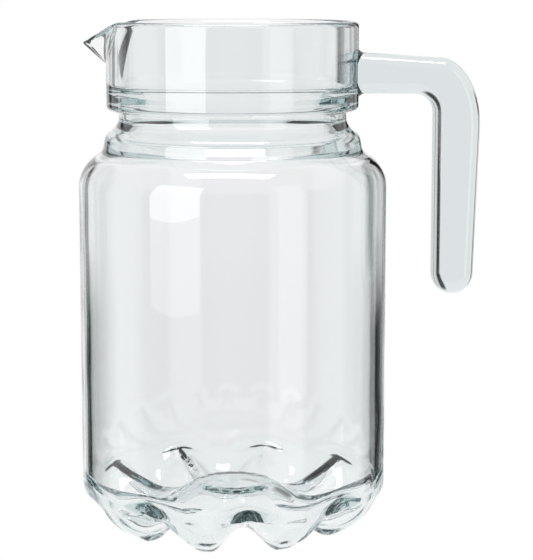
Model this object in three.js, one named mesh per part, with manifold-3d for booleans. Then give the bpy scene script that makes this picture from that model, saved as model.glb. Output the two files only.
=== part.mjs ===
// Glass water jug: wide-mouthed pressed jug with a V spout, an open L-shaped handle
// and a nine-lobed foot.
// Frame: millimetres, +Z up, the table at z = 0, the spout towards -X, the handle
// towards +X. The group is shifted along X so that the jug's box is centred on Z.
// The glass is divided where its mould parts: the pouring collar, the neck with its
// bead, the straight wall, the lobed base and the handle.
import * as THREE from "three";
import { mergeVertices } from "three/addons/utils/BufferGeometryUtils.js";
import Module from "manifold-3d";

const wasm = await Module();
wasm.setup();

// ---- Driving dimensions ----

// Overall
const JUG_H = 199.6; // table to rim
const BODY_R = 60; // outer radius of the straight wall
const BODY_WALL = 3.5; // thickness of the straight wall

// Pouring collar
const COLLAR_R = 49; // outer radius
const COLLAR_WALL = 4.4;
const COLLAR_H = 34.1; // underside to rim
const COLLAR_EDGE = 1.6; // rounding of the lower outer edge
const RIM_ROUND = 2; // rounding of the rim, outside and inside
const LEDGE_DROP = 26; // rim to the seat ledge inside the collar
const LEDGE_H = 4; // height of the ledge's slope

// Spout
const SPOUT_REACH = 10.1; // tip beyond the collar
const SPOUT_TIP_DROP = 8; // rim to tip
const SPOUT_ROOT_DROP = 17; // rim to the foot of the beak, outside
const GROOVE_ROOT_DROP = 22; // rim to the foot of the pouring groove, inside
const SPOUT_FLARE = 1.16; // slope of a flank in plan, x per y
const SPOUT_RIM_SLOPE = 0.536; // fall of the rim towards the tip
const SPOUT_NOSE = 0.03; // rounding of the V, as a share of its angle
const SPOUT_BLEND = 1.2; // fillet between beak and collar
const SPOUT_WALL = 3.8; // glass at the tip, along the beak

// Neck and bead
const NECK_R = 44.2;
const NECK_WALL = 3.4;
const NECK_H = 7.5; // straight part under the collar
const BEAD_H = 8; // bead, from the neck to the shoulder
const BEAD_OUT = 3.2; // bead's corner beyond the neck
const BEAD_FOOT_OUT = 6.3; // shoulder joint beyond the neck
const BEAD_ROUND = 3;
const BEAD_WALL = 4.6; // glass at the shoulder joint

// Shoulder
const SHOULDER_H = 16.3;
const SHOULDER_LEAN = 0.47; // where the shoulder turns down, as a share of its height

// Lobed base
const LOBES = 9;
const BASE_H = 26; // table to the wall joint
const FLOOR = 4.2; // glass of the base
const LOBE_TOP_Z = 17.25;
const LOBE_KNEE_IN = 5.4; // inward from the wall
const LOBE_KNEE_Z = 6.6;
const FOOT_IN = 19.5; // foot's ring, inward from the wall
const FOOT_DIP = 1.4; // foot's corner below the table before it is ground flat
const VALLEY_TOP_Z = 16.1;
const VALLEY_LIP_IN = 1.6;
const VALLEY_LIP_Z = 17.4;
const VALLEY_END_IN = 26.3;
const VALLEY_END_Z = 6.8;
const MOAT_R = 23; // low ring around the punt
const MOAT_Z = 8.2;
const PUNT_R = 13.4; // raised middle
const PUNT_Z = 13.6;
const LOBE_CREST = 1.08; // fullness of a lobe, so that its foot is flat across
const LOBE_SHARPNESS = [0.586, 0.6, 1.07, 1.36]; // wall, knee, foot, moat

// Handle
const HANDLE_T = 15; // thickness across the jug
const HANDLE_EDGE = 3.2; // rounding of its edges
const ARM_DROP = 12; // rim to the top of the arm
const ARM_H = 15.6;
const ARM_FALL = 2; // fall of the arm towards the grip
const FINGER_GAP = 17.4; // wall to the inside of the grip
const GRIP_W = 18.3; // grip at the top
const GRIP_TAPER = 2; // narrowing of the grip towards its end
const GRIP_H = 91.1; // outer corner to the end of the grip
const CORNER_IN = 13.6; // outer bend, along the arm
const CORNER_DOWN = 26; // outer bend, along the grip
const BEND_R = 7; // inner bend
const STUB = 3; // handle's root on the collar
const ROOT_FILLET = 2.2;

// ---- Places that follow from them ----

const COLLAR_Z = JUG_H - COLLAR_H;
const COLLAR_IN_R = COLLAR_R - COLLAR_WALL;
const NECK_IN_R = NECK_R - NECK_WALL;
const NECK_FOOT_Z = COLLAR_Z - NECK_H;
const SHOULDER_Z = NECK_FOOT_Z - BEAD_H;
const SHOULDER_R = NECK_R + BEAD_FOOT_OUT;
const SHOULDER_IN_R = SHOULDER_R - BEAD_WALL;
const BODY_IN_R = BODY_R - BODY_WALL;
const WALL_TOP_Z = SHOULDER_Z - SHOULDER_H;
const STUB_X = COLLAR_R + STUB;
const ARM_TOP_Z = JUG_H - ARM_DROP;
const GRIP_X0 = BODY_R + FINGER_GAP;
const GRIP_X1 = GRIP_X0 + GRIP_W;

// ---- Helpers ----

const point = (x, z) => new THREE.Vector2(x, z);

// A polyline through corners {x, z, r, n}: each inner corner becomes an arc of
// radius r, limited by its neighbours, with n + 1 points.
function filleted(corners) {
  const out = [point(corners[0].x, corners[0].z)];
  for (let i = 1; i < corners.length - 1; i += 1) {
    const at = point(corners[i].x, corners[i].z);
    const back = point(corners[i - 1].x, corners[i - 1].z).sub(at);
    const on = point(corners[i + 1].x, corners[i + 1].z).sub(at);
    const room = 0.49 * Math.min(back.length(), on.length());
    back.normalize();
    on.normalize();
    const half = 0.5 * Math.acos(THREE.MathUtils.clamp(back.dot(on), -1, 1));
    const cut = Math.min(corners[i].r / Math.tan(half), room);
    const from = at.clone().addScaledVector(back, cut);
    const to = at.clone().addScaledVector(on, cut);
    const reach = cut / Math.cos(half);
    const centre = at.clone().add(from.clone().add(to).multiplyScalar(0.5).sub(at).setLength(reach));
    const a0 = Math.atan2(from.y - centre.y, from.x - centre.x);
    const a1 = Math.atan2(to.y - centre.y, to.x - centre.x);
    const turn = THREE.MathUtils.euclideanModulo(a1 - a0 + Math.PI, 2 * Math.PI) - Math.PI;
    const radius = from.distanceTo(centre);
    for (let k = 0; k <= corners[i].n; k += 1) {
      const a = a0 + (turn * k) / corners[i].n;
      out.push(point(centre.x + radius * Math.cos(a), centre.y + radius * Math.sin(a)));
    }
  }
  const last = corners[corners.length - 1];
  out.push(point(last.x, last.z));
  return out;
}

// The same corners moved to the left of their path, each stretch by its own amount.
function inset(corners, amounts) {
  const lines = amounts.map((amount, i) => {
    const from = point(corners[i].x, corners[i].z);
    const dir = point(corners[i + 1].x, corners[i + 1].z).sub(from).normalize();
    return { at: from.addScaledVector(point(-dir.y, dir.x), amount), dir };
  });
  return corners.map((corner, i) => {
    const a = lines[Math.max(0, i - 1)];
    const b = lines[Math.min(lines.length - 1, i)];
    if (a === b) {
      return i === 0 ? { ...corner, z: a.at.y } : { ...corner, x: a.at.x };
    }
    const gap = b.at.clone().sub(a.at);
    const along = gap.cross(b.dir) / a.dir.cross(b.dir);
    return { ...corner, x: a.at.x + a.dir.x * along, z: a.at.y + a.dir.y * along };
  });
}

// Welds a geometry, drops the triangles that this closes up and turns its faces outward.
function welded(source) {
  const bare = source.clone();
  bare.deleteAttribute("normal");
  bare.deleteAttribute("uv");
  const merged = mergeVertices(bare, 1e-4);
  const place = merged.getAttribute("position");
  const index = [];
  let volume = 0;
  const [a, b, c] = [new THREE.Vector3(), new THREE.Vector3(), new THREE.Vector3()];
  for (let i = 0; i < merged.index.count; i += 3) {
    const [p, q, r] = [merged.index.getX(i), merged.index.getX(i + 1), merged.index.getX(i + 2)];
    if (p !== q && q !== r && r !== p) {
      index.push(p, q, r);
      a.fromBufferAttribute(place, p);
      b.fromBufferAttribute(place, q);
      c.fromBufferAttribute(place, r);
      volume += a.dot(b.cross(c));
    }
  }
  if (volume < 0) {
    index.reverse();
  }
  merged.setIndex(index);
  return merged;
}

// A profile turned about Z from the handle's side; shape(row, azimuth, r, z) returns the
// moved [azimuth, r, z].
function turned(profile, columns, shape) {
  const geometry = new THREE.LatheGeometry(profile, columns);
  geometry.rotateX(Math.PI / 2);
  geometry.rotateZ(Math.PI / 2);
  const place = geometry.getAttribute("position");
  for (let i = 0; i < place.count && shape; i += 1) {
    const azimuth = Math.atan2(place.getY(i), place.getX(i));
    const row = i % profile.length;
    const [turn, r, z] = shape(row, azimuth, profile[row].x, profile[row].y);
    place.setXYZ(i, r * Math.cos(turn), r * Math.sin(turn), z);
  }
  return welded(geometry);
}

function toSolid(geometry) {
  const vertProperties = Float32Array.from(geometry.getAttribute("position").array);
  const triVerts = Uint32Array.from(geometry.index.array);
  return new wasm.Manifold(new wasm.Mesh({ numProp: 3, vertProperties, triVerts }));
}

function toGeometry(solid) {
  const mesh = solid.getMesh();
  const geometry = new THREE.BufferGeometry();
  const places = new Float32Array(3 * mesh.numVert);
  for (let i = 0; i < mesh.numVert; i += 1) {
    places.set(mesh.vertProperties.subarray(i * mesh.numProp, i * mesh.numProp + 3), 3 * i);
  }
  geometry.setAttribute("position", new THREE.BufferAttribute(places, 3));
  geometry.setIndex(Array.from(mesh.triVerts));
  return geometry;
}

// A box by its X limits, wide enough for the handle in the other directions.
function slab(x0, x1) {
  const box = new THREE.BoxGeometry(x1 - x0, 4 * HANDLE_T, 2 * JUG_H);
  box.translate((x0 + x1) / 2, 0, JUG_H);
  return toSolid(welded(box));
}

// The larger of two values, rounded over where they differ by less than k.
function softMax(a, b, k) {
  const h = Math.max(k - Math.abs(a - b), 0) / k;
  return Math.max(a, b) + (h * h * k) / 4;
}

const softMin = (a, b, k) => -softMax(-a, -b, k);

function part(name, geometry, color, roughness) {
  const flat = geometry.toNonIndexed();
  flat.computeVertexNormals();
  const look = { color, roughness, metalness: 0, transparent: true, opacity: 0.35 };
  const material = new THREE.MeshStandardMaterial(look);
  const mesh = new THREE.Mesh(flat, material);
  mesh.name = name;
  return mesh;
}

// ---- Handle: one bar, parted from its root on the collar by a flat face ----

function handleOutline() {
  const rootX = COLLAR_R - 4 * HANDLE_EDGE;
  const fromX = COLLAR_R - 0.25 * STUB;
  const armEnd = GRIP_X1 - CORNER_IN;
  const topEnd = ARM_TOP_Z - ARM_FALL;
  const under = ARM_TOP_Z - ARM_H;
  const endZ = topEnd - GRIP_H;
  const endR = (GRIP_W - GRIP_TAPER) / 2;
  const endX = GRIP_X0 + endR;
  const cornerZ = topEnd - CORNER_DOWN;
  const bendX = GRIP_X0 - BEND_R;
  const bendZ = under - BEND_R;
  const outline = new THREE.Shape();
  outline.moveTo(rootX, ARM_TOP_Z + ROOT_FILLET);
  outline.lineTo(fromX, ARM_TOP_Z + ROOT_FILLET);
  outline.quadraticCurveTo(fromX + 0.6 * STUB, ARM_TOP_Z, STUB_X, ARM_TOP_Z);
  outline.lineTo(armEnd, topEnd);
  outline.bezierCurveTo(
    armEnd + 0.56 * CORNER_IN, topEnd - 0.08 * CORNER_DOWN,
    GRIP_X1, cornerZ + 0.54 * CORNER_DOWN,
    GRIP_X1, cornerZ
  );
  outline.lineTo(endX + endR, endZ + endR);
  outline.absarc(endX, endZ + endR, endR, 0, -Math.PI, true);
  outline.lineTo(GRIP_X0, bendZ);
  outline.absarc(bendX, bendZ, BEND_R, 0, Math.PI / 2, false);
  outline.lineTo(STUB_X, under);
  outline.quadraticCurveTo(fromX + 0.6 * STUB, under, fromX, under - ROOT_FILLET);
  outline.lineTo(rootX, under - ROOT_FILLET);
  outline.closePath();
  return outline;
}

const bar = new THREE.ExtrudeGeometry(handleOutline(), {
  depth: HANDLE_T - 2 * HANDLE_EDGE,
  curveSegments: 6,
  bevelEnabled: true,
  bevelThickness: HANDLE_EDGE,
  bevelSize: HANDLE_EDGE,
  bevelOffset: -HANDLE_EDGE,
  bevelSegments: 3,
});
bar.rotateX(Math.PI / 2);
bar.translate(0, HANDLE_T / 2 - HANDLE_EDGE, 0);
const barSolid = toSolid(welded(bar));
const barEnd = GRIP_X1 + GRIP_W;
const handle = toGeometry(barSolid.intersect(slab(STUB_X, barEnd)));
const root = barSolid.intersect(slab(COLLAR_R - 0.6 * COLLAR_WALL, STUB_X));

// ---- Collar with its spout ----

const SPOUT_ROOT_Z = JUG_H - SPOUT_ROOT_DROP;
const SPOUT_TIP_Z = JUG_H - SPOUT_TIP_DROP;
const GROOVE_ROOT_Z = JUG_H - GROOVE_ROOT_DROP;
const SPOUT_FOOT_Z = GROOVE_ROOT_Z - 1;
const TIP_R = COLLAR_R + SPOUT_REACH;

// The beak's plan: a V through (1, 0) whose flanks fall back by k per unit of width,
// as a radius at an angle from the spout. It has ended well before a right angle.
function vee(k, angle) {
  const slant = Math.hypot(Math.sin(angle), SPOUT_NOSE) - SPOUT_NOSE;
  return Math.cos(angle) > 0.3 ? 1 / (Math.cos(angle) + k * slant) : 0;
}

// How far the beak stands off the collar's radius r0 at an angle from the spout.
function beak(r0, tipR, rootZ, angle, z) {
  const ridge = r0 + ((z - rootZ) * (tipR - r0)) / (SPOUT_TIP_Z - rootZ);
  return softMax(r0, ridge * vee(SPOUT_FLARE, angle), SPOUT_BLEND) - r0;
}

// The rim's height at an angle from the spout.
function rimHeight(angle) {
  const lean = SPOUT_REACH / (SPOUT_ROOT_DROP - SPOUT_TIP_DROP);
  const plan = SPOUT_FLARE / (1 + SPOUT_RIM_SLOPE * lean);
  const edge = Math.max(COLLAR_R, TIP_R * vee(plan, angle));
  const z = SPOUT_TIP_Z + SPOUT_RIM_SLOPE * (TIP_R - edge * Math.cos(angle));
  return softMin(JUG_H, z, 1.5);
}

// The collar's ring with its columns drawn towards the spout and the beak pulled out.
function spouted(row, azimuth, r, z) {
  const even = THREE.MathUtils.euclideanModulo(azimuth, 2 * Math.PI) - Math.PI;
  const angle = even - 0.5 * Math.sin(even);
  const turn = Math.PI + angle;
  if (z <= SPOUT_FOOT_Z) {
    return [turn, r, z];
  }
  const share = (z - SPOUT_FOOT_Z) / (JUG_H - SPOUT_FOOT_Z);
  const height = SPOUT_FOOT_Z + share * (rimHeight(angle) - SPOUT_FOOT_Z);
  const inner = THREE.MathUtils.clamp((COLLAR_R - r) / COLLAR_WALL, 0, 1);
  const outside = beak(COLLAR_R, TIP_R, SPOUT_ROOT_Z, angle, height);
  const inside = beak(COLLAR_IN_R, TIP_R - SPOUT_WALL, GROOVE_ROOT_Z, angle, height);
  return [turn, r + (1 - inner) * outside + inner * inside, height];
}

function collarProfile() {
  const outerFoot = filleted([
    { x: COLLAR_R - COLLAR_EDGE, z: COLLAR_Z },
    { x: COLLAR_R, z: COLLAR_Z + COLLAR_EDGE, r: 1.2 * COLLAR_EDGE, n: 2 },
    { x: COLLAR_R, z: COLLAR_Z + 3 * COLLAR_EDGE },
  ]);
  const rim = filleted([
    { x: COLLAR_R, z: JUG_H - 2 * RIM_ROUND },
    { x: COLLAR_R, z: JUG_H, r: RIM_ROUND, n: 2 },
    { x: COLLAR_IN_R, z: JUG_H, r: RIM_ROUND, n: 2 },
    { x: COLLAR_IN_R, z: JUG_H - 2 * RIM_ROUND },
  ]).slice(1, -1);
  const ledgeZ = JUG_H - LEDGE_DROP;
  const ledge = filleted([
    { x: COLLAR_IN_R, z: ledgeZ + 3 },
    { x: COLLAR_IN_R, z: ledgeZ, r: 3, n: 2 },
    { x: NECK_IN_R, z: ledgeZ - LEDGE_H, r: 3, n: 2 },
    { x: NECK_IN_R, z: COLLAR_Z },
  ]);
  const top = JUG_H - RIM_ROUND;
  const steps = [0.16, 0.36, 0.55, 0.73, 0.89];
  const levels = steps.map((t) => THREE.MathUtils.lerp(SPOUT_FOOT_Z, top, t));
  const up = [SPOUT_FOOT_Z, ...levels].map((z) => point(COLLAR_R, z));
  const down = levels.reverse().map((z) => point(COLLAR_IN_R, z));
  const profile = [...outerFoot, ...up, ...rim, ...down, ...ledge];
  profile.push(profile[0].clone());
  return profile;
}

const ring = toSolid(turned(collarProfile(), 72, spouted));
const collar = toGeometry(ring.add(root));

// ---- Neck with its bead ----

const neckProfile = [
  ...filleted([
    { x: SHOULDER_R, z: SHOULDER_Z },
    { x: NECK_R + BEAD_OUT, z: NECK_FOOT_Z - 0.6, r: BEAD_ROUND, n: 3 },
    { x: NECK_R + 0.4, z: NECK_FOOT_Z, r: 1.2, n: 1 },
    { x: NECK_R, z: COLLAR_Z },
  ]),
  ...filleted([
    { x: NECK_IN_R, z: COLLAR_Z },
    { x: NECK_IN_R, z: NECK_FOOT_Z - 1.5, r: 5, n: 2 },
    { x: SHOULDER_IN_R, z: SHOULDER_Z },
  ]),
];
neckProfile.push(neckProfile[0].clone());
const neck = turned(neckProfile, 64);

// ---- Straight wall with its shoulder ----

function shoulder(r0, r1) {
  const top = point(r0, SHOULDER_Z);
  const bend = point(r1, SHOULDER_Z - SHOULDER_LEAN * SHOULDER_H);
  return new THREE.QuadraticBezierCurve(top, bend, point(r1, WALL_TOP_Z)).getPoints(5);
}

const wallProfile = [
  ...shoulder(SHOULDER_R, BODY_R),
  point(BODY_R, BASE_H),
  point(BODY_IN_R, BASE_H),
  ...shoulder(SHOULDER_IN_R, BODY_IN_R).reverse(),
];
wallProfile.push(wallProfile[0].clone());
const wall = turned(wallProfile, 64);

// ---- Lobed base ----

const lobeCorners = [
  { x: 0, z: PUNT_Z },
  { x: PUNT_R, z: PUNT_Z, r: 3, n: 1 },
  { x: MOAT_R, z: MOAT_Z, r: 8, n: 1 },
  { x: BODY_R - FOOT_IN, z: -FOOT_DIP, r: 7, n: 4 },
  { x: BODY_R - LOBE_KNEE_IN, z: LOBE_KNEE_Z, r: 17.2, n: 2 },
  { x: BODY_R, z: LOBE_TOP_Z, r: 4.4, n: 1 },
  { x: BODY_R, z: BASE_H },
];
const valleyCorners = [
  { x: 0, z: PUNT_Z },
  { x: PUNT_R, z: PUNT_Z, r: 3, n: 1 },
  { x: MOAT_R, z: MOAT_Z, r: 8, n: 1 },
  { x: BODY_R - VALLEY_END_IN, z: VALLEY_END_Z, r: 21.4, n: 4 },
  { x: BODY_R - VALLEY_LIP_IN, z: VALLEY_LIP_Z, r: 22, n: 2 },
  { x: BODY_R, z: VALLEY_TOP_Z, r: 2.2, n: 1 },
  { x: BODY_R, z: BASE_H },
];
// Inside, the valley has no lip: its slope runs on to the wall.
const slope = (VALLEY_LIP_Z - VALLEY_END_Z) / (VALLEY_END_IN - VALLEY_LIP_IN);
const innerValleyCorners = valleyCorners.filter((corner, i) => i !== 4);
innerValleyCorners[4] = { x: BODY_R, z: VALLEY_LIP_Z + slope * VALLEY_LIP_IN, r: 7, n: 4 };

// An outer path, the rim of the base and the inner path back to the axis.
function hollow(outer, inner) {
  const glass = inner.slice(1).map((corner, i) => (i === inner.length - 2 ? BODY_WALL : FLOOR));
  return [...filleted(outer), ...filleted(inset(inner, glass)).reverse()];
}

const lobePath = hollow(lobeCorners, lobeCorners);
const valleyPath = hollow(valleyCorners, innerValleyCorners);

// How narrow a lobe is at a radius.
function sharpness(r) {
  const at = [BODY_R, BODY_R - LOBE_KNEE_IN, BODY_R - FOOT_IN, MOAT_R];
  for (let i = 1; i < at.length; i += 1) {
    if (r >= at[i]) {
      const t = THREE.MathUtils.clamp((at[i - 1] - r) / (at[i - 1] - at[i]), 0, 1);
      return THREE.MathUtils.lerp(LOBE_SHARPNESS[i - 1], LOBE_SHARPNESS[i], t);
    }
  }
  return LOBE_SHARPNESS[LOBE_SHARPNESS.length - 1];
}

// Each row lies between the lobe's path and the valley's, and the feet end at the table.
function lobed(row, azimuth, r, z) {
  const wave = (1 + Math.cos(LOBES * (azimuth - Math.PI))) / 2;
  const lobe = Math.min(LOBE_CREST * Math.max(wave, 0) ** sharpness(r), 1);
  const mixedR = THREE.MathUtils.lerp(valleyPath[row].x, r, lobe);
  const mixedZ = THREE.MathUtils.lerp(valleyPath[row].y, z, lobe);
  return [azimuth, mixedR, Math.max(mixedZ, 0)];
}

const base = turned(lobePath, 12 * LOBES, lobed);

// ---- The jug ----

const CLEAR = 0xe4edec;
const TINTED = 0xd2e0de;
const jug = new THREE.Group();
jug.add(part("collar", collar, TINTED, 0.05));
jug.add(part("neck_bead", neck, TINTED, 0.05));
jug.add(part("body_wall", wall, CLEAR, 0.05));
jug.add(part("lobed_base", base, CLEAR, 0.06));
jug.add(part("handle", handle, TINTED, 0.08));
const box = new THREE.Box3().setFromObject(jug);
jug.position.x = -(box.min.x + box.max.x) / 2;

export default jug;
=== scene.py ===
"""A pressed-glass water jug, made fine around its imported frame.

The jug is one piece of glass: a nine-lobed base, a straight wall, a shoulder, a neck
with a bead, a pouring collar with a V spout, and an open handle fused to the collar.
Sizes are in millimetres, and each finished mesh is scaled to the frame's metres.
"""

import logging
import math
from dataclasses import dataclass, field
from enum import Enum
from typing import ClassVar, Sequence

import bmesh
import bpy
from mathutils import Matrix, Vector
from mathutils.geometry import interpolate_bezier

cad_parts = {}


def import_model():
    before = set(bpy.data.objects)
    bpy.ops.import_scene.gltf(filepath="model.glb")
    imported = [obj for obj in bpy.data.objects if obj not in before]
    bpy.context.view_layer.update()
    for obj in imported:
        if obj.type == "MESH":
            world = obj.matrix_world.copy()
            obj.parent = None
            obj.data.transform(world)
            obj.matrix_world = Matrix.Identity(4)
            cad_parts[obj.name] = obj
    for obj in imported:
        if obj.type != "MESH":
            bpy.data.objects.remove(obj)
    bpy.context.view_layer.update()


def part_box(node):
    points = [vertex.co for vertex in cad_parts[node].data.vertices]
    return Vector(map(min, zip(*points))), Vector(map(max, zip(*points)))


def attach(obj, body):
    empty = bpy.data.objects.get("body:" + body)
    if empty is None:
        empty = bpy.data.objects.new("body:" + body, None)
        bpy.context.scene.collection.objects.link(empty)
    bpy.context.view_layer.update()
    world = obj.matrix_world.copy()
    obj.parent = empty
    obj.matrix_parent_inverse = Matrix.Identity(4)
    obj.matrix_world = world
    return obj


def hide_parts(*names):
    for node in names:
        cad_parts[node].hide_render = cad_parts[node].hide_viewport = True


MM = 0.001
BODY = "root"
MERGE_DISTANCE = 1e-4

log = logging.getLogger("jug")


# ---------------------------------------------------------------- drawing lines


@dataclass(frozen=True)
class Corner:
    """A corner of a profile: its distance from the axis, its height and its rounding.

    A rounding takes at most ROOM of the shorter of the corner's two sides.
    """

    ROOM: ClassVar[float] = 0.49

    out: float
    up: float
    rounding: float = 0.0

    @property
    def point(self) -> Vector:
        """The corner as a point in the profile's plane."""
        return Vector((self.out, 0.0, self.up))

    def setback(self, before: "Corner", after: "Corner") -> float:
        """How far the rounding reaches along both of the corner's sides.

        Args:
            before: The corner that comes before this one.
            after: The corner that comes after it.

        Returns:
            The reach in millimetres, kept under half of the shorter side.
        """
        back = before.point - self.point
        onward = after.point - self.point
        turn = math.pi - back.angle(onward)
        room = self.ROOM * min(back.length, onward.length)
        return min(self.rounding * math.tan(turn / 2), room)


def walk_line(mesh: bmesh.types.BMesh, start: Vector) -> list[bmesh.types.BMVert]:
    """Lists the vertices of an open line in order.

    Args:
        mesh: A mesh that holds nothing but the line.
        start: Where the line begins.

    Returns:
        Every vertex from that end to the other.
    """
    ends = [vert for vert in mesh.verts if len(vert.link_edges) == 1]
    line = [min(ends, key=lambda vert: (vert.co - start).length)]
    came_by = None
    while True:
        ways = [edge for edge in line[-1].link_edges if edge != came_by]
        if not ways:
            return line
        came_by = ways[0]
        line.append(came_by.other_vert(line[-1]))


def rounded_line(corners: Sequence[Corner], steps: int = 8, longest: float = 6.0) -> list[Vector]:
    """Draws a profile through its corners and rounds them.

    Args:
        corners: The profile's corners in order.
        steps: How many segments each rounding gets.
        longest: The longest segment that is left in a straight run.

    Returns:
        The points of the finished line, in order.
    """
    mesh = bmesh.new()
    posts = [mesh.verts.new(corner.point) for corner in corners]
    for pair in zip(posts, posts[1:]):
        mesh.edges.new(pair)
    for before, here, after, post in zip(corners, corners[1:], corners[2:], posts[1:]):
        if here.rounding > 0:
            bmesh.ops.bevel(
                mesh,
                geom=[post],
                offset=here.setback(before, after),
                offset_type="OFFSET",
                affect="VERTICES",
                segments=steps,
                profile=0.5,
                material=-1,
            )
    for edge in [edge for edge in mesh.edges if edge.calc_length() > longest]:
        cuts = math.ceil(edge.calc_length() / longest) - 1
        bmesh.ops.subdivide_edges(mesh, edges=[edge], cuts=cuts)
    line = [vert.co.copy() for vert in walk_line(mesh, corners[0].point)]
    mesh.free()
    return line


def respaced(line: Sequence[Vector], count: int) -> list[Vector]:
    """Spaces a line's points evenly along it.

    Args:
        line: The points of the line.
        count: How many points the new line has.

    Returns:
        The new points, with both ends kept.
    """
    marks = [0.0]
    for here, there in zip(line, line[1:]):
        marks.append(marks[-1] + (there - here).length)
    points = []
    at = 0
    for number in range(count):
        mark = marks[-1] * number / (count - 1)
        while at < len(line) - 2 and marks[at + 1] < mark:
            at += 1
        share = (mark - marks[at]) / (marks[at + 1] - marks[at])
        points.append(line[at].lerp(line[at + 1], share))
    return points


def inset(corners: Sequence[Corner], depths: Sequence[float]) -> list[Corner]:
    """Moves a profile into the glass, each run by its own depth.

    Args:
        corners: The outer profile's corners, from the axis outward and up.
        depths: The glass thickness at each run between two corners.

    Returns:
        The corners of the inner profile.
    """
    lines = []
    for here, there, depth in zip(corners, corners[1:], depths):
        way = (there.point - here.point).normalized()
        lines.append((here.point + depth * Vector((-way.z, 0.0, way.x)), way))
    moved = [Corner(0.0, lines[0][0].z)]
    for corner, (at, way), (next_at, next_way) in zip(corners[1:], lines, lines[1:]):
        gap = next_at - at
        cross = way.x * next_way.z - way.z * next_way.x
        along = (gap.x * next_way.z - gap.z * next_way.x) / cross
        place = at + along * way
        moved.append(Corner(place.x, place.z, corner.rounding))
    moved.append(Corner(lines[-1][0].x, corners[-1].up))
    return moved


def soft_max(a: float, b: float, width: float) -> float:
    """The larger of two values, rounded over where they differ by less than width."""
    share = max(width - abs(a - b), 0.0) / width
    return max(a, b) + share * share * width / 4


def soft_min(a: float, b: float, width: float) -> float:
    """The smaller of two values, rounded over where they differ by less than width."""
    return -soft_max(-a, -b, width)


def clamp(value: float, low: float = 0.0, high: float = 1.0) -> float:
    """A value kept between two others."""
    return max(low, min(high, value))


# ---------------------------------------------------------------- sizes from the frame


def tenth(length: float) -> float:
    """A length of the frame in millimetres, to a tenth."""
    return round(length / MM, 1)


@dataclass(frozen=True)
class Stack:
    """The jug's main sizes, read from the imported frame."""

    axis_x: float
    wall_radius: float
    base_top: float
    shoulder_top: float
    neck_foot_radius: float
    neck_top: float
    collar_radius: float
    rim: float
    grip_outside: float
    grip_end: float
    arm_top: float
    handle_width: float

    @classmethod
    def from_frame(cls) -> "Stack":
        """Reads the heights and radii of the frame's nodes.

        Returns:
            The sizes in millimetres.
        """
        wall_low, wall_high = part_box("body_wall")
        neck_low, neck_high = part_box("neck_bead")
        collar_low, collar_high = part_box("collar")
        handle_low, handle_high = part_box("handle")
        _, base_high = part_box("lobed_base")
        axis_x = (wall_low.x + wall_high.x) / 2
        return cls(
            axis_x=axis_x / MM,
            wall_radius=tenth((wall_high.x - wall_low.x) / 2),
            base_top=tenth(base_high.z),
            shoulder_top=tenth(wall_high.z),
            neck_foot_radius=tenth((neck_high.y - neck_low.y) / 2),
            neck_top=tenth(neck_high.z),
            collar_radius=tenth((collar_high.y - collar_low.y) / 2),
            rim=tenth(collar_high.z),
            grip_outside=tenth(handle_high.x - axis_x),
            grip_end=tenth(handle_low.z),
            arm_top=tenth(handle_high.z),
            handle_width=tenth(handle_high.y - handle_low.y),
        )


# ---------------------------------------------------------------- the vessel


class Section(Enum):
    """The two upright sections of the base that its shape runs between."""

    LOBE = "through the middle of a lobe"
    VALLEY = "along a valley between two lobes"


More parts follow.
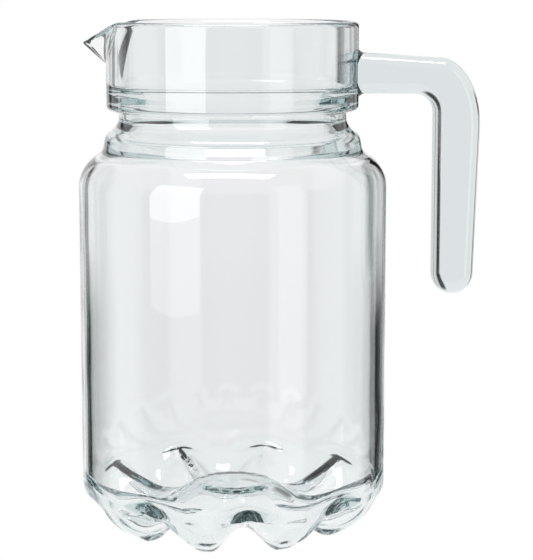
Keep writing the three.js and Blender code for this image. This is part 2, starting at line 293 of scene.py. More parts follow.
@dataclass(frozen=True)
class LobedBase:
    """The nine lobes that the jug stands on, with the punt in their middle.

    Sizes that end in "in" are measured inward from the wall. Narrowness says how tightly
    the lobes are drawn together at the wall, the knee, the foot and the moat.
    """

    lobes: int = 9
    floor: float = 4.2
    punt_radius: float = 13.4
    punt_height: float = 13.6
    punt_round: float = 3.0
    moat_radius: float = 23.0
    moat_height: float = 8.2
    moat_round: float = 8.0
    foot_in: float = 19.5
    foot_dip: float = 1.4
    foot_round: float = 7.0
    knee_in: float = 5.4
    knee_height: float = 6.6
    knee_round: float = 17.2
    lobe_top: float = 17.25
    lobe_top_round: float = 4.4
    valley_end_in: float = 26.3
    valley_end_height: float = 6.8
    valley_end_round: float = 21.4
    lip_in: float = 1.6
    lip_height: float = 17.4
    lip_round: float = 22.0
    valley_top: float = 16.1
    valley_top_round: float = 2.2
    ridge_end_round: float = 7.0
    crest: float = 1.08
    narrowness: tuple[float, ...] = (0.586, 0.6, 1.07, 1.36)
    rows: int = 46
    step: float = 1.0

    def middle(self) -> list[Corner]:
        """The corners that lobes and valleys share.

        Returns:
            The corners from the axis to the moat.
        """
        return [
            Corner(0.0, self.punt_height),
            Corner(self.punt_radius, self.punt_height, self.punt_round),
            Corner(self.moat_radius, self.moat_height, self.moat_round),
        ]

    def lobe(self, radius: float, top: float) -> list[Corner]:
        """The profile through the middle of a lobe.

        Args:
            radius: The wall's outer radius.
            top: The height where the base meets the wall.

        Returns:
            The corners from the axis to the wall.
        """
        return [
            *self.middle(),
            Corner(radius - self.foot_in, -self.foot_dip, self.foot_round),
            Corner(radius - self.knee_in, self.knee_height, self.knee_round),
            Corner(radius, self.lobe_top, self.lobe_top_round),
            Corner(radius, top),
        ]

    def valley(self, radius: float, top: float) -> list[Corner]:
        """The profile along a valley between two lobes, outside.

        Args:
            radius: The wall's outer radius.
            top: The height where the base meets the wall.

        Returns:
            The corners from the axis to the wall.
        """
        return [
            *self.middle(),
            Corner(radius - self.valley_end_in, self.valley_end_height, self.valley_end_round),
            Corner(radius - self.lip_in, self.lip_height, self.lip_round),
            Corner(radius, self.valley_top, self.valley_top_round),
            Corner(radius, top),
        ]

    def inner_valley(self, radius: float, top: float) -> list[Corner]:
        """The valley's profile without its lip, which the inside doesn't have.

        Args:
            radius: The wall's outer radius.
            top: The height where the base meets the wall.

        Returns:
            The corners from the axis to the wall, before the glass is taken off.
        """
        rise = self.lip_height - self.valley_end_height
        slope = rise / (self.valley_end_in - self.lip_in)
        return [
            *self.middle(),
            Corner(radius - self.valley_end_in, self.valley_end_height, self.valley_end_round),
            Corner(radius, self.lip_height + slope * self.lip_in, self.ridge_end_round),
            Corner(radius, top),
        ]

    def rows_of(self, corners: Sequence[Corner]) -> list[Vector]:
        """Draws a section with as many points as every other section has.

        Args:
            corners: The section's corners.

        Returns:
            Its evenly spaced points.
        """
        return respaced(rounded_line(corners, longest=self.step), self.rows)

    def outside(self, section: Section, radius: float, top: float) -> list[Vector]:
        """Draws the outside of the base.

        Args:
            section: Which of the two sections is drawn.
            radius: The wall's outer radius.
            top: The height where the base meets the wall.

        Returns:
            The points from the axis to the wall.
        """
        draw = self.valley if section is Section.VALLEY else self.lobe
        return self.rows_of(draw(radius, top))

    def inside(self, section: Section, radius: float, top: float, wall: float) -> list[Vector]:
        """Draws the inside of the base.

        Args:
            section: Which of the two sections is drawn.
            radius: The wall's outer radius.
            top: The height where the base meets the wall.
            wall: The thickness of the wall.

        Returns:
            The points from the wall to the axis.
        """
        draw = self.inner_valley if section is Section.VALLEY else self.lobe
        bare = draw(radius, top)
        line = self.rows_of(inset(bare, [self.floor] * (len(bare) - 2) + [wall]))
        line.reverse()
        return line

    def share(self, azimuth: float, out: float, radius: float) -> float:
        """How much of a lobe there is at a place on the base.

        Args:
            azimuth: The angle about the jug's axis.
            out: The distance from the axis.
            radius: The wall's outer radius.

        Returns:
            0 in the middle of a valley, 1 on a lobe.
        """
        marks = (radius, radius - self.knee_in, radius - self.foot_in, self.moat_radius)
        narrow = self.narrowness[-1]
        for number in range(1, len(marks)):
            if out >= marks[number]:
                along = clamp((marks[number - 1] - out) / (marks[number - 1] - marks[number]))
                here, there = self.narrowness[number - 1], self.narrowness[number]
                narrow = here + along * (there - here)
                break
        wave = max((1 + math.cos(self.lobes * (azimuth - math.pi))) / 2, 0.0)
        return min(self.crest * wave**narrow, 1.0)


@dataclass(frozen=True)
class Spout:
    """The V beak that is pulled out of the collar, opposite the handle.

    Drops are measured down from the rim. The root is where the beak begins outside, and
    the groove is where it begins inside.
    """

    collar_radius: float
    collar_wall: float
    rim: float
    reach: float = 10.1
    tip_drop: float = 8.0
    root_drop: float = 17.0
    groove_drop: float = 22.0
    foot_drop: float = 23.0
    flare: float = 1.16
    rim_slope: float = 0.536
    nose: float = 0.03
    blend: float = 1.2
    wall: float = 3.8
    rim_blend: float = 1.5
    widest_cosine: float = 0.3

    @property
    def tip_radius(self) -> float:
        """The tip's distance from the axis."""
        return self.collar_radius + self.reach

    @property
    def tip_height(self) -> float:
        """The height of the tip."""
        return self.rim - self.tip_drop

    @property
    def foot_height(self) -> float:
        """The height under which the collar is plain."""
        return self.rim - self.foot_drop

    def vee(self, fall: float, angle: float) -> float:
        """The V's plan, as a radius at an angle from the spout.

        Args:
            fall: How far a flank falls back for each unit of width.
            angle: The angle from the spout's middle.

        Returns:
            The radius as a share of the tip's, 0 away from the spout.
        """
        slant = math.hypot(math.sin(angle), self.nose) - self.nose
        facing = math.cos(angle)
        return 1 / (facing + fall * slant) if facing > self.widest_cosine else 0.0

    def beak(
        self, from_radius: float, to_radius: float, root: float, angle: float, height: float
    ) -> float:
        """How far the beak stands off the collar.

        Args:
            from_radius: The collar's radius on this side of the glass.
            to_radius: The tip's radius on this side of the glass.
            root: The height where the beak begins.
            angle: The angle from the spout's middle.
            height: The height on the collar.

        Returns:
            The distance to add to the collar's radius.
        """
        rise = (height - root) / (self.tip_height - root)
        ridge = from_radius + rise * (to_radius - from_radius)
        return soft_max(from_radius, ridge * self.vee(self.flare, angle), self.blend) - from_radius

    def rim_height(self, angle: float) -> float:
        """The height of the rim, which falls towards the tip.

        Args:
            angle: The angle from the spout's middle.

        Returns:
            The rim's height at that angle.
        """
        lean = self.reach / (self.root_drop - self.tip_drop)
        plan = self.flare / (1 + self.rim_slope * lean)
        edge = max(self.collar_radius, self.tip_radius * self.vee(plan, angle))
        fall = self.tip_height + self.rim_slope * (self.tip_radius - edge * math.cos(angle))
        return soft_min(self.rim, fall, self.rim_blend)

    def pull(self, angle: float, out: float, height: float) -> tuple[float, float]:
        """Moves a point of the plain collar to its place on the spout.

        Args:
            angle: The angle from the spout's middle.
            out: The point's distance from the axis.
            height: The point's height.

        Returns:
            The new distance from the axis and the new height.
        """
        if height <= self.foot_height:
            return out, height
        up = (height - self.foot_height) / (self.rim - self.foot_height)
        level = self.foot_height + up * (self.rim_height(angle) - self.foot_height)
        inner = clamp((self.collar_radius - out) / self.collar_wall)
        outside = self.beak(
            self.collar_radius, self.tip_radius, self.rim - self.root_drop, angle, level
        )
        inside = self.beak(
            self.collar_radius - self.collar_wall,
            self.tip_radius - self.wall,
            self.rim - self.groove_drop,
            angle,
            level,
        )
        return out + (1 - inner) * outside + inner * inside, level


@dataclass
class Vessel:
    """The hollow of the jug: one turned wall from the punt to the rim and back.

    Its columns are drawn together towards the spout, by the share drawn_in.
    """

    stack: Stack
    wall: float = 3.7
    shoulder_drop: float = 7.66
    shoulder_round: float = 21.0
    bead_foot_round: float = 2.0
    bead_in: float = 1.0
    bead_height: float = 5.8
    bead_round: float = 4.6
    bead_top: float = 5.4
    bead_top_round: float = 5.0
    bead_wall: float = 4.6
    neck_foot: float = 9.0
    neck_in: float = 4.8
    neck_flare: float = 0.1
    neck_top_round: float = 0.8
    neck_wall: float = 3.4
    neck_inner_round: float = 9.0
    collar_wall: float = 4.4
    collar_round: float = 1.9
    rim_round: float = 2.0
    ledge_drop: float = 25.0
    ledge_height: float = 7.5
    ledge_round: float = 7.0
    rim_step: float = 0.9
    columns: int = 240
    drawn_in: float = 0.5
    base: LobedBase = field(default_factory=LobedBase)

    def spout(self) -> Spout:
        """The spout on this vessel's collar."""
        return Spout(self.stack.collar_radius, self.collar_wall, self.stack.rim)

    def outer_line(self) -> list[Vector]:
        """Draws the outside of the jug.

        Returns:
            The points from the top of the base to where the spout begins.
        """
        at = self.stack
        neck = at.collar_radius - self.neck_in
        bead_top = at.shoulder_top + self.bead_height
        return rounded_line(
            [
                Corner(at.wall_radius, at.base_top),
                Corner(at.wall_radius, at.shoulder_top - self.shoulder_drop, self.shoulder_round),
                Corner(at.neck_foot_radius, at.shoulder_top, self.bead_foot_round),
                Corner(at.neck_foot_radius - self.bead_in, bead_top, self.bead_round),
                Corner(neck + self.neck_flare, at.neck_top - self.bead_top, self.bead_top_round),
                Corner(neck, at.neck_top, self.neck_top_round),
                Corner(at.collar_radius, at.neck_top, self.collar_round),
                Corner(at.collar_radius, self.spout().foot_height),
            ]
        )

    def rim_line(self) -> list[Vector]:
        """Draws the part of the collar that the spout is pulled out of.

        Returns:
            The points up the outside, over the rim and down the inside.
        """
        at = self.stack
        foot = self.spout().foot_height
        inside = at.collar_radius - self.collar_wall
        return rounded_line(
            [
                Corner(at.collar_radius, foot),
                Corner(at.collar_radius, at.rim, self.rim_round),
                Corner(inside, at.rim, self.rim_round),
                Corner(inside, foot),
            ],
            longest=self.rim_step,
        )

    def inner_line(self) -> list[Vector]:
        """Draws the inside of the jug.

        Returns:
            The points from where the spout begins down to the top of the base.
        """
        at = self.stack
        inside = at.collar_radius - self.collar_wall
        neck = at.collar_radius - self.neck_in - self.neck_wall
        ledge = at.rim - self.ledge_drop
        return rounded_line(
            [
                Corner(inside, self.spout().foot_height),
                Corner(inside, ledge, self.ledge_round),
                Corner(neck, ledge - self.ledge_height, self.ledge_round),
                Corner(neck, at.neck_top - self.neck_foot, self.neck_inner_round),
                Corner(
                    at.neck_foot_radius - self.bead_wall,
                    at.shoulder_top,
                    self.neck_inner_round,
                ),
                Corner(
                    at.wall_radius - self.wall,
                    at.shoulder_top - self.shoulder_drop,
                    self.shoulder_round,
                ),
                Corner(at.wall_radius - self.wall, at.base_top),
            ]
        )

    def profile(self, section: Section) -> list[Vector]:
        """Draws the whole profile, from the axis underneath to the axis inside.

        Args:
            section: Which section of the base it runs through.

        Returns:
            The profile's points.
        """
        radius, top = self.stack.wall_radius, self.stack.base_top
        whole = self.base.outside(section, radius, top)
        for part in (
            self.outer_line(),
            self.rim_line(),
            self.inner_line(),
            self.base.inside(section, radius, top, self.wall),
        ):
            whole.extend(part[1:])
        return whole

    def shaped(
        self, azimuth: float, plain: Vector, valley: Vector, spout: Spout
    ) -> tuple[float, float, float]:
        """Finds the place of one point of the turned profile.

        Args:
            azimuth: The point's angle about the axis, from -pi to pi.
            plain: Its place on the profile through a lobe.
            valley: Its place on the profile along a valley.
            spout: The spout that the collar is pulled into.

        Returns:
            The point's x, y and height.
        """
        even = azimuth % (2 * math.pi) - math.pi
        angle = even - self.drawn_in * math.sin(even)
        turn = math.pi + angle
        if plain.z < self.stack.base_top:
            lobe = self.base.share(turn, plain.x, self.stack.wall_radius)
            place = valley.lerp(plain, lobe)
            out, height = place.x, max(place.z, 0.0)
        else:
            out, height = spout.pull(angle, plain.x, plain.z)
        return out * math.cos(turn), out * math.sin(turn), height

    def build(self) -> bmesh.types.BMesh:
        """Turns the profile about the axis, then shapes the lobes and the spout.

        Returns:
            The closed vessel in millimetres, about its own axis.
        """
        over_lobe = self.profile(Section.LOBE)
        over_valley = self.profile(Section.VALLEY)
        mesh = bmesh.new()
        row_of = mesh.verts.layers.int.new("row")
        line = [mesh.verts.new(point) for point in over_lobe]
        for row, vert in enumerate(line):
            vert[row_of] = row
        edges = [mesh.edges.new(pair) for pair in zip(line, line[1:])]
        bmesh.ops.spin(
            mesh,
            geom=line + edges,
            cent=(0, 0, 0),
            axis=(0, 0, 1),
            dvec=(0, 0, 0),
            angle=2 * math.pi,
            steps=self.columns,
            use_merge=True,
            use_normal_flip=False,
            use_duplicate=False,
        )
        spout = self.spout()
        for vert in mesh.verts:
            row = vert[row_of]
            azimuth = math.atan2(vert.co.y, vert.co.x)
            vert.co = self.shaped(azimuth, over_lobe[row], over_valley[row], spout)
        mesh.verts.layers.int.remove(row_of)
        bmesh.ops.remove_doubles(mesh, verts=mesh.verts[:], dist=MERGE_DISTANCE)
        bmesh.ops.recalc_face_normals(mesh, faces=mesh.faces[:])
        return mesh


# ---------------------------------------------------------------- the handle


@dataclass
class Handle:
    """The open handle: a flat arm off the collar that bends down into a grip.

    The bar is drawn on into the collar by its stem, so that its edges are whole at the
    root, and is then cut off where it is rooted. The pulls shape its curves.
    """

    stack: Stack
    edge: float = 4.6
    edge_steps: int = 8
    arm_height: float = 15.6
    arm_fall: float = 2.0
    grip_width: float = 18.3
    grip_taper: float = 2.0
    corner_in: float = 13.6
    corner_down: float = 26.0
    corner_pull_out: float = 0.56
    corner_pull_down: float = 0.08
    corner_pull_up: float = 0.54
    bend: float = 7.0
    stub: float = 3.0
    stub_pull: float = 1.6
    stem: float = 18.4
    flare_in: float = 0.8
    flare_pull_out: float = 1.2
    flare_pull_up: float = 0.5
    root_rise: float = 2.2
    rooted: float = 2.4
    curve_steps: int = 14
    flat_inset: float = 0.3
    level: float = 1e-6
    facing: float = 0.99

    def curve(self, *points: tuple[float, float]) -> list[Vector]:
        """A curved stretch of the outline.

        Args:
            points: The start, the two pulls and the end of the curve, as (out, up).

        Returns:
            The curve's points, with both ends.
        """
        knots = [Vector((out, 0.0, up)) for out, up in points]
        return interpolate_bezier(*knots, self.curve_steps + 1)

    def arc(self, out: float, up: float, radius: float, start: float, end: float) -> list[Vector]:
        """A round stretch of the outline.

        Args:
            out: The centre's distance from the axis.
            up: The centre's height.
            radius: The radius.
            start: The angle where it starts.
            end: The angle where it ends.

        Returns:
            The arc's points, with both ends.
        """
        points = []
        for number in range(self.curve_steps + 1):
            angle = start + (end - start) * number / self.curve_steps
            across, rise = radius * math.cos(angle), radius * math.sin(angle)
            points.append(Vector((out + across, 0.0, up + rise)))
        return points

    def root_curve(self, height: float, rise: float) -> list[Vector]:
        """The curve by which one side of the arm widens into the collar.

        Args:
            height: The height of that side on the arm.
            rise: How far it goes up from there, or down if negative.

        Returns:
            The points from the collar out to the arm.
        """
        flare = self.stack.collar_radius - self.flare_in
        foot = self.stack.collar_radius + self.stub
        pull = math.copysign(self.flare_pull_up, rise)
        return self.curve(
            (flare, height + rise),
            (flare + self.flare_pull_out, height + pull),
            (foot - self.stub_pull, height),
            (foot, height),
        )

    def outline(self) -> list[Vector]:
        """Draws the handle's outline in its own plane.

        Returns:
            The points, round from the top of the root to the bottom of the root.
        """
        at = self.stack
        top = at.arm_top
        under = top - self.arm_height
        outside = at.grip_outside
        inside = outside - self.grip_width
        arm_end = outside - self.corner_in
        arm_low = top - self.arm_fall
        corner = arm_low - self.corner_down
        end = (self.grip_width - self.grip_taper) / 2
        root = at.collar_radius - self.stem
        rise = self.root_rise
        return [
            Vector((root, 0.0, top + rise)),
            *self.root_curve(top, rise),
            *self.curve(
                (arm_end, arm_low),
                (
                    arm_end + self.corner_pull_out * self.corner_in,
                    arm_low - self.corner_pull_down * self.corner_down,
                ),
                (outside, corner + self.corner_pull_up * self.corner_down),
                (outside, corner),
            ),
            *self.arc(inside + end, at.grip_end + end, end, 0.0, -math.pi),
            *self.arc(inside - self.bend, under - self.bend, self.bend, 0.0, math.pi / 2),
            *reversed(self.root_curve(under, -rise)),
            Vector((root, 0.0, under - rise)),
        ]

    def bar(self) -> bmesh.types.BMesh:
        """Extrudes the outline across the jug.

        Returns:
            The bar with sharp edges and its stem.
        """
        mesh = bmesh.new()
        half = self.stack.handle_width / 2
        ring = [mesh.verts.new(point - Vector((0.0, half, 0.0))) for point in self.outline()]
        side = mesh.faces.new(ring)
        grown = bmesh.ops.extrude_face_region(mesh, geom=[side], use_keep_orig=True)
        far = [item for item in grown["geom"] if isinstance(item, bmesh.types.BMVert)]
        bmesh.ops.translate(mesh, verts=far, vec=(0.0, 2 * half, 0.0))
        bmesh.ops.recalc_face_normals(mesh, faces=mesh.faces[:])
        bmesh.ops.dissolve_degenerate(mesh, edges=mesh.edges[:], dist=MERGE_DISTANCE)
        return mesh

    def build(self) -> bmesh.types.BMesh:
        """Rounds the bar's edges and cuts off its stem.

        Returns:
            The closed handle in millimetres, about the jug's axis.
        """
        mesh = self.bar()
        rims = [
            edge
            for edge in mesh.edges
            if abs(edge.verts[0].co.y - edge.verts[1].co.y) < self.level
        ]
        bmesh.ops.bevel(
            mesh,
            geom=rims,
            offset=self.edge,
            offset_type="OFFSET",
            affect="EDGES",
            segments=self.edge_steps,
            profile=0.5,
            material=-1,
            clamp_overlap=False,
        )
        bmesh.ops.bisect_plane(
            mesh,
            geom=mesh.verts[:] + mesh.edges[:] + mesh.faces[:],
            plane_co=(self.stack.collar_radius - self.rooted, 0.0, 0.0),
            plane_no=(1.0, 0.0, 0.0),
            clear_inner=True,
        )
        open_edges = [edge for edge in mesh.edges if edge.is_boundary]
        bmesh.ops.contextual_create(mesh, geom=open_edges)
        flats = [
            face
            for face in mesh.faces
            if len(face.verts) > 4 and abs(face.normal.y) > self.facing
        ]
        bmesh.ops.inset_region(
            mesh, faces=flats, thickness=self.flat_inset, use_even_offset=True
        )
        bmesh.ops.recalc_face_normals(mesh, faces=mesh.faces[:])
        return mesh


# ---------------------------------------------------------------- finishes


@dataclass(frozen=True)
class JugGlass:
    """Clear pressed glass that turns sea green where it is deep.

    Depth is how strongly a metre of the glass takes up what its tint leaves out.
    """

    name: str = "clear_pressed_glass"
    tint: tuple[float, float, float] = (0.05, 0.31, 0.34)
    depth: float = 20.5
    index: float = 1.5
    roughness: float = 0.0
    ripple: float = 0.05
    ripple_scale: float = 28.0
    ripple_detail: float = 1.0
    ripple_roughness: float = 0.4
    ripple_depth: float = 0.004

    def rippled(self, tree: bpy.types.NodeTree) -> bpy.types.NodeSocket:
        """Adds the faint waves that a mould leaves on glass.

        Args:
            tree: The material's node tree.

        Returns:
            The surface's normal.
        """
        nodes, links = tree.nodes, tree.links
        place = nodes.new("ShaderNodeTexCoord")
        noise = nodes.new("ShaderNodeTexNoise")
        noise.inputs["Scale"].default_value = self.ripple_scale
        noise.inputs["Detail"].default_value = self.ripple_detail
        noise.inputs["Roughness"].default_value = self.ripple_roughness
        bump = nodes.new("ShaderNodeBump")
        bump.inputs["Strength"].default_value = self.ripple
        bump.inputs["Distance"].default_value = self.ripple_depth
        links.new(place.outputs["Object"], noise.inputs["Vector"])
        links.new(noise.outputs["Fac"], bump.inputs["Height"])
        return bump.outputs["Normal"]

    def make(self) -> bpy.types.Material:
        """Builds the glass: a clear, faintly rippled surface, tinted inside.

        Returns:
            The material.
        """
        material = bpy.data.materials.new(self.name)
        material.use_nodes = True
        nodes, links = material.node_tree.nodes, material.node_tree.links
        surface = nodes["Principled BSDF"]
        output = nodes["Material Output"]
        surface.inputs["Base Color"].default_value = (1.0, 1.0, 1.0, 1.0)
        surface.inputs["Roughness"].default_value = self.roughness
        surface.inputs["IOR"].default_value = self.index
        surface.inputs["Transmission Weight"].default_value = 1.0
        links.new(self.rippled(material.node_tree), surface.inputs["Normal"])
        inside = nodes.new("ShaderNodeVolumeAbsorption")
        inside.inputs["Color"].default_value = (*self.tint, 1.0)
        inside.inputs["Density"].default_value = self.depth
        links.new(inside.outputs["Volume"], output.inputs["Volume"])
        return material


@dataclass(frozen=True)
class FloorPaint:
    """A plain white floor that is lit from below."""

    name: str = "white_floor"
    strength: float = 1.0

    def make(self) -> bpy.types.Material:
        """Builds the floor's even white.

        Returns:
            The material.
        """
        material = bpy.data.materials.new(self.name)
        material.use_nodes = True
        nodes, links = material.node_tree.nodes, material.node_tree.links
        nodes.remove(nodes["Principled BSDF"])
        glow = nodes.new("ShaderNodeEmission")
        glow.inputs["Strength"].default_value = self.strength
        links.new(glow.outputs["Emission"], nodes["Material Output"].inputs["Surface"])
        return material


# ---------------------------------------------------------------- finishing a piece


def finished(mesh: bmesh.types.BMesh, name: str, axis_x: float) -> bpy.types.Object:
    """Turns a mesh in millimetres into an object in the frame's metres.

    Args:
        mesh: The mesh, about the jug's axis. It is freed.
        name: The object's name.
        axis_x: Where the jug's axis stands in the frame, in millimetres.

    Returns:
        The object, at the origin with its place in its mesh.
    """
    bmesh.ops.translate(mesh, vec=(axis_x, 0.0, 0.0), verts=mesh.verts[:])
    bmesh.ops.scale(mesh, vec=(MM, MM, MM), verts=mesh.verts[:])
    data = bpy.data.meshes.new(name)
    mesh.to_mesh(data)
    mesh.free()
    data.shade_smooth()
    piece = bpy.data.objects.new(name, data)
    bpy.context.scene.collection.objects.link(piece)
    return piece


def fuse(piece: bpy.types.Object, other: bpy.types.Object) -> None:
    """Joins another body of glass to a piece and removes the other object.

    Args:
        piece: The piece that grows.
        other: The body that is joined to it. Both have to be closed.
    """
    joint = piece.modifiers.new("fused", "BOOLEAN")
    joint.operation = "UNION"
    joint.solver = "MANIFOLD"
    joint.object = other
    depsgraph = bpy.context.evaluated_depsgraph_get()
    whole = bpy.data.meshes.new_from_object(piece.evaluated_get(depsgraph))
    piece.modifiers.clear()
    piece.data = whole
    bpy.data.objects.remove(other)


@dataclass
class Jug:
    """The whole jug: the vessel with its handle fused on."""

    stack: Stack
    glass: JugGlass = field(default_factory=JugGlass)
    crease: float = math.radians(38.0)

    def build(self) -> bpy.types.Object:
        """Builds the jug and gives it its glass.

        Returns:
            The finished piece.
        """
        vessel = finished(Vessel(self.stack).build(), "glass_jug", self.stack.axis_x)
        handle = finished(Handle(self.stack).build(), "handle_bar", self.stack.axis_x)
        fuse(vessel, handle)
        vessel.data.shade_smooth()
        vessel.data.set_sharp_from_angle(angle=self.crease)
        vessel.data.materials.clear()
        vessel.data.materials.append(self.glass.make())
        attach(vessel, BODY)
        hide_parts("collar", "neck_bead", "body_wall", "lobed_base", "handle")
        return vessel


# ---------------------------------------------------------------- the studio


@dataclass(frozen=True)
class Cards:
    """The white and dark cards that stand around the jug, at one height.

    Each stop is a bearing in degrees, clockwise from behind the jug, and how bright the
    room is there.
    """

    name: str
    stops: tuple[tuple[float, float], ...]

    def ramp(self, tree: bpy.types.NodeTree, bearing: bpy.types.NodeSocket) -> bpy.types.NodeSocket:
        """Adds the cards to a node tree.

        Args:
            tree: The node tree of the room.
            bearing: A bearing as a share of a full turn, 0.5 behind the jug.

        Returns:
            The brightness at that bearing.
        """
        node = tree.nodes.new("ShaderNodeValToRGB")
        node.label = self.name
        ramp = node.color_ramp
        while len(ramp.elements) < len(self.stops):
            ramp.elements.new(1.0)
        for element, (degrees, white) in zip(ramp.elements, self.stops):
            element.position = degrees / 360 + 0.5
            element.color = (white, white, white, 1.0)
        tree.links.new(bearing, node.inputs["Fac"])
        return node.outputs["Color"]


HIGH_CARDS = Cards(
    "cards above the table",
    (
        (-180, 0.45), (-125, 0.45), (-116, 0.14), (-112, 0.85), (-101, 1.0), (-79, 1.0), (-76, 0.4),
        (-68, 0.4), (-62, 1.0), (-43, 1.0), (-41, 0.15), (-35, 0.15), (-33, 1.0), (9, 1.0),
        (11, 0.03), (18, 0.03), (20, 0.7), (27, 0.9), (29, 0.5), (33, 0.5), (35, 0.9), (75, 0.9),
        (95, 0.6), (118, 0.15), (123, 1.0), (147, 1.0), (150, 0.3), (165, 0.45), (180, 0.45),
    ),
)
LOW_CARDS = Cards(
    "cards at the table's edge",
    (
        (-180, 0.30), (-116, 0.20), (-104, 1.0), (-78, 1.0), (-73, 0.3), (-64, 0.3), (-60, 0.03),
        (-35, 0.03), (-32, 1.0), (12, 1.0), (14, 0.25), (21, 0.25), (25, 0.03), (56, 0.03),
        (60, 0.9), (75, 0.8), (100, 0.5), (112, 0.2), (119, 0.2), (123, 1.0), (147, 1.0), (151, 0.2),
        (165, 0.30), (180, 0.30),
    ),
)


@dataclass(frozen=True)
class SoftWindow:
    """A soft light that shows as a window in the glass.

    Its bearing is in degrees from the front of the jug, positive to the right. Distance
    and lift are those of its middle, and tip is how many degrees it leans forward. Its
    power is in watts.
    """

    name: str
    bearing: float
    distance: float
    lift: float
    width: float
    height: float
    power: float
    tip: float = 0.0


WINDOWS = (
    SoftWindow("left_window", -37.0, 600.0, 320.0, 400.0, 520.0, 2.5),
    SoftWindow("left_window_foot", -37.0, 600.0, 30.0, 400.0, 60.0, 0.1),
    SoftWindow("right_window", 47.0, 600.0, 262.0, 230.0, 635.0, 0.48),
    SoftWindow("overhead_bar", -2.0, 180.0, 830.0, 560.0, 230.0, 4.5, tip=75.0),
)


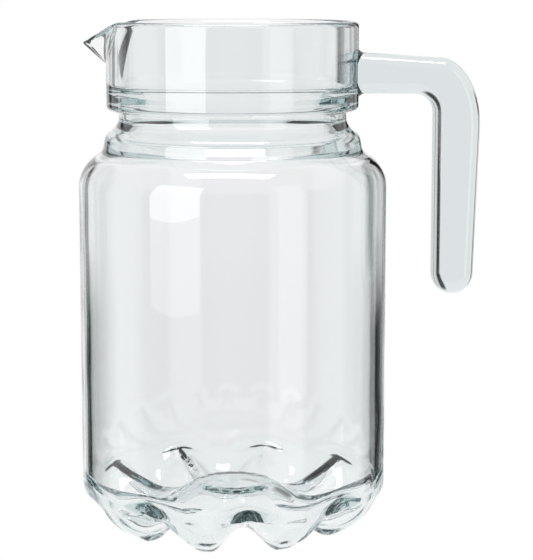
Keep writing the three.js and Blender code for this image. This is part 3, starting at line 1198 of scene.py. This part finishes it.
@dataclass
class Studio:
    """A white table and room, with cards around it and soft windows in front.

    The three rises say between which slopes of a look, as the sine of its angle, the room
    goes over from the table to the low cards, to the high cards and to the light above.
    """

    stack: Stack
    floor_radius: float = 118.0
    floor_gap: float = 0.3
    floor_sides: int = 96
    table_rise: tuple[float, float] = (-0.30, -0.26)
    card_rise: tuple[float, float] = (-0.18, -0.12)
    top_rise: tuple[float, float] = (0.2, 0.45)
    top_light: tuple[float, float, float] = (1.0, 0.98, 0.98)
    table_light: tuple[float, float, float] = (0.98, 0.96, 0.96)
    lamp_tone: tuple[float, float, float] = (1.0, 0.98, 0.98)
    camera_right: float = 59.01
    camera_back: float = 763.79
    camera_height: float = 215.7
    camera_pitch: float = 8.706
    camera_turn: float = 3.434
    lens: float = 126.42
    sensor: float = 36.0
    nearest: float = 0.01
    glass_bounces: int = 24
    mirror_bounces: int = 16

    def floor(self) -> bpy.types.Object:
        """Lays the round white floor under the jug.

        Returns:
            The floor.
        """
        mesh = bmesh.new()
        bmesh.ops.create_circle(
            mesh, cap_ends=True, segments=self.floor_sides, radius=self.floor_radius
        )
        bmesh.ops.translate(mesh, verts=mesh.verts[:], vec=(0.0, 0.0, -self.floor_gap))
        floor = finished(mesh, "floor", self.stack.axis_x)
        floor.data.materials.append(FloorPaint().make())
        return floor

    def around(
        self,
        tree: bpy.types.NodeTree,
        east: bpy.types.NodeSocket,
        north: bpy.types.NodeSocket,
        rise: bpy.types.NodeSocket,
    ) -> bpy.types.NodeSocket:
        """Stands both rows of cards around the jug.

        Args:
            tree: The node tree of the room.
            east: The look's share along X.
            north: The look's share along Y.
            rise: The look's share along Z.

        Returns:
            The light of the cards in that direction.
        """
        nodes, links = tree.nodes, tree.links
        angle = nodes.new("ShaderNodeMath")
        angle.operation = "ARCTAN2"
        links.new(east, angle.inputs[0])
        links.new(north, angle.inputs[1])
        bearing = nodes.new("ShaderNodeMapRange")
        links.new(angle.outputs["Value"], bearing.inputs["Value"])
        bearing.inputs["From Min"].default_value = -math.pi
        bearing.inputs["From Max"].default_value = math.pi
        high = HIGH_CARDS.ramp(tree, bearing.outputs["Result"])
        low = LOW_CARDS.ramp(tree, bearing.outputs["Result"])
        tone = nodes.new("ShaderNodeMix")
        tone.data_type = "RGBA"
        tone.blend_type = "MULTIPLY"
        tone.inputs["Factor"].default_value = 1.0
        tone.inputs["B"].default_value = (*self.lamp_tone, 1.0)
        links.new(self.blend(tree, rise, self.card_rise, low, high), tone.inputs["A"])
        return tone.outputs["Result"]

    def plain(
        self, tree: bpy.types.NodeTree, tone: tuple[float, float, float]
    ) -> bpy.types.NodeSocket:
        """Adds an even light to a node tree.

        Args:
            tree: The node tree of the room.
            tone: The light's red, green and blue.

        Returns:
            The light.
        """
        node = tree.nodes.new("ShaderNodeRGB")
        node.outputs["Color"].default_value = (*tone, 1.0)
        return node.outputs["Color"]

    def room(self) -> None:
        """Makes the room: white to look at, and lit by its cards."""
        world = bpy.data.worlds.new("white_room")
        bpy.context.scene.world = world
        world.use_nodes = True
        tree = world.node_tree
        nodes, links = tree.nodes, tree.links
        nodes.clear()
        place = nodes.new("ShaderNodeTexCoord")
        split = nodes.new("ShaderNodeSeparateXYZ")
        links.new(place.outputs["Generated"], split.inputs["Vector"])
        rise = split.outputs["Z"]
        cards = self.around(tree, split.outputs["X"], split.outputs["Y"], rise)
        table = self.plain(tree, self.table_light)
        above = self.plain(tree, self.top_light)
        sides = self.blend(tree, rise, self.table_rise, table, cards)
        light = nodes.new("ShaderNodeBackground")
        links.new(self.blend(tree, rise, self.top_rise, sides, above), light.inputs["Color"])
        white = nodes.new("ShaderNodeBackground")
        white.inputs["Color"].default_value = (1.0, 1.0, 1.0, 1.0)
        seen = nodes.new("ShaderNodeLightPath")
        choose = nodes.new("ShaderNodeMixShader")
        output = nodes.new("ShaderNodeOutputWorld")
        links.new(seen.outputs["Is Camera Ray"], choose.inputs["Fac"])
        links.new(light.outputs["Background"], choose.inputs[1])
        links.new(white.outputs["Background"], choose.inputs[2])
        links.new(choose.outputs["Shader"], output.inputs["Surface"])

    def blend(
        self,
        tree: bpy.types.NodeTree,
        height: bpy.types.NodeSocket,
        limits: tuple[float, float],
        low: bpy.types.NodeSocket,
        high: bpy.types.NodeSocket,
    ) -> bpy.types.NodeSocket:
        """Goes from one light to another as the look rises.

        Args:
            tree: The node tree of the room.
            height: The rise of the look, from -1 to 1.
            limits: Where the change starts and ends.
            low: The light under the first limit.
            high: The light over the second.

        Returns:
            The blended light.
        """
        share = tree.nodes.new("ShaderNodeMapRange")
        share.interpolation_type = "SMOOTHSTEP"
        tree.links.new(height, share.inputs["Value"])
        share.inputs["From Min"].default_value = limits[0]
        share.inputs["From Max"].default_value = limits[1]
        mix = tree.nodes.new("ShaderNodeMix")
        mix.data_type = "RGBA"
        tree.links.new(share.outputs["Result"], mix.inputs["Factor"])
        tree.links.new(low, mix.inputs["A"])
        tree.links.new(high, mix.inputs["B"])
        return mix.outputs["Result"]

    def hang(self, window: SoftWindow) -> bpy.types.Object:
        """Hangs one soft window, turned to the jug.

        Args:
            window: The window's sizes and place.

        Returns:
            The light.
        """
        lamp = bpy.data.lights.new(window.name, "AREA")
        lamp.shape = "RECTANGLE"
        lamp.size = window.width * MM
        lamp.size_y = window.height * MM
        lamp.energy = window.power
        light = bpy.data.objects.new(window.name, lamp)
        bpy.context.scene.collection.objects.link(light)
        bearing = math.radians(window.bearing)
        place = Vector((math.sin(bearing), -math.cos(bearing), 0.0)) * window.distance
        place += Vector((self.stack.axis_x, 0.0, window.lift))
        light.location = place * MM
        light.rotation_euler = (math.radians(90 - window.tip), 0.0, bearing)
        light.visible_camera = False
        light.visible_transmission = False
        return light

    def camera(self) -> bpy.types.Object:
        """Stands the camera in front of the jug, a little above its rim.

        Returns:
            The camera.
        """
        lens = bpy.data.cameras.new("camera")
        lens.lens = self.lens
        lens.sensor_width = self.sensor
        lens.sensor_fit = "AUTO"
        lens.clip_start = self.nearest
        camera = bpy.data.objects.new("camera", lens)
        bpy.context.scene.collection.objects.link(camera)
        place = Vector(
            (self.stack.axis_x + self.camera_right, -self.camera_back, self.camera_height)
        )
        camera.location = place * MM
        camera.rotation_euler = (
            math.radians(90 - self.camera_pitch),
            0.0,
            math.radians(self.camera_turn),
        )
        bpy.context.scene.camera = camera
        return camera

    def build(self) -> None:
        """Sets the room, the floor, the windows and the camera."""
        scene = bpy.context.scene
        scene.view_settings.view_transform = "Standard"
        scene.cycles.max_bounces = self.glass_bounces
        scene.cycles.transmission_bounces = self.glass_bounces
        scene.cycles.glossy_bounces = self.mirror_bounces
        self.camera()
        self.room()
        self.floor()
        for window in WINDOWS:
            self.hang(window)


def main() -> None:
    """Builds the studio and the jug."""
    logging.basicConfig(level=logging.INFO, format="%(name)s: %(message)s")
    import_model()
    stack = Stack.from_frame()
    log.info("sizes from the frame: %s", stack)
    Studio(stack).build()
    piece = Jug(stack).build()
    log.info("%s: %d faces", piece.name, len(piece.data.polygons))


if __name__ == "__main__":
    main()
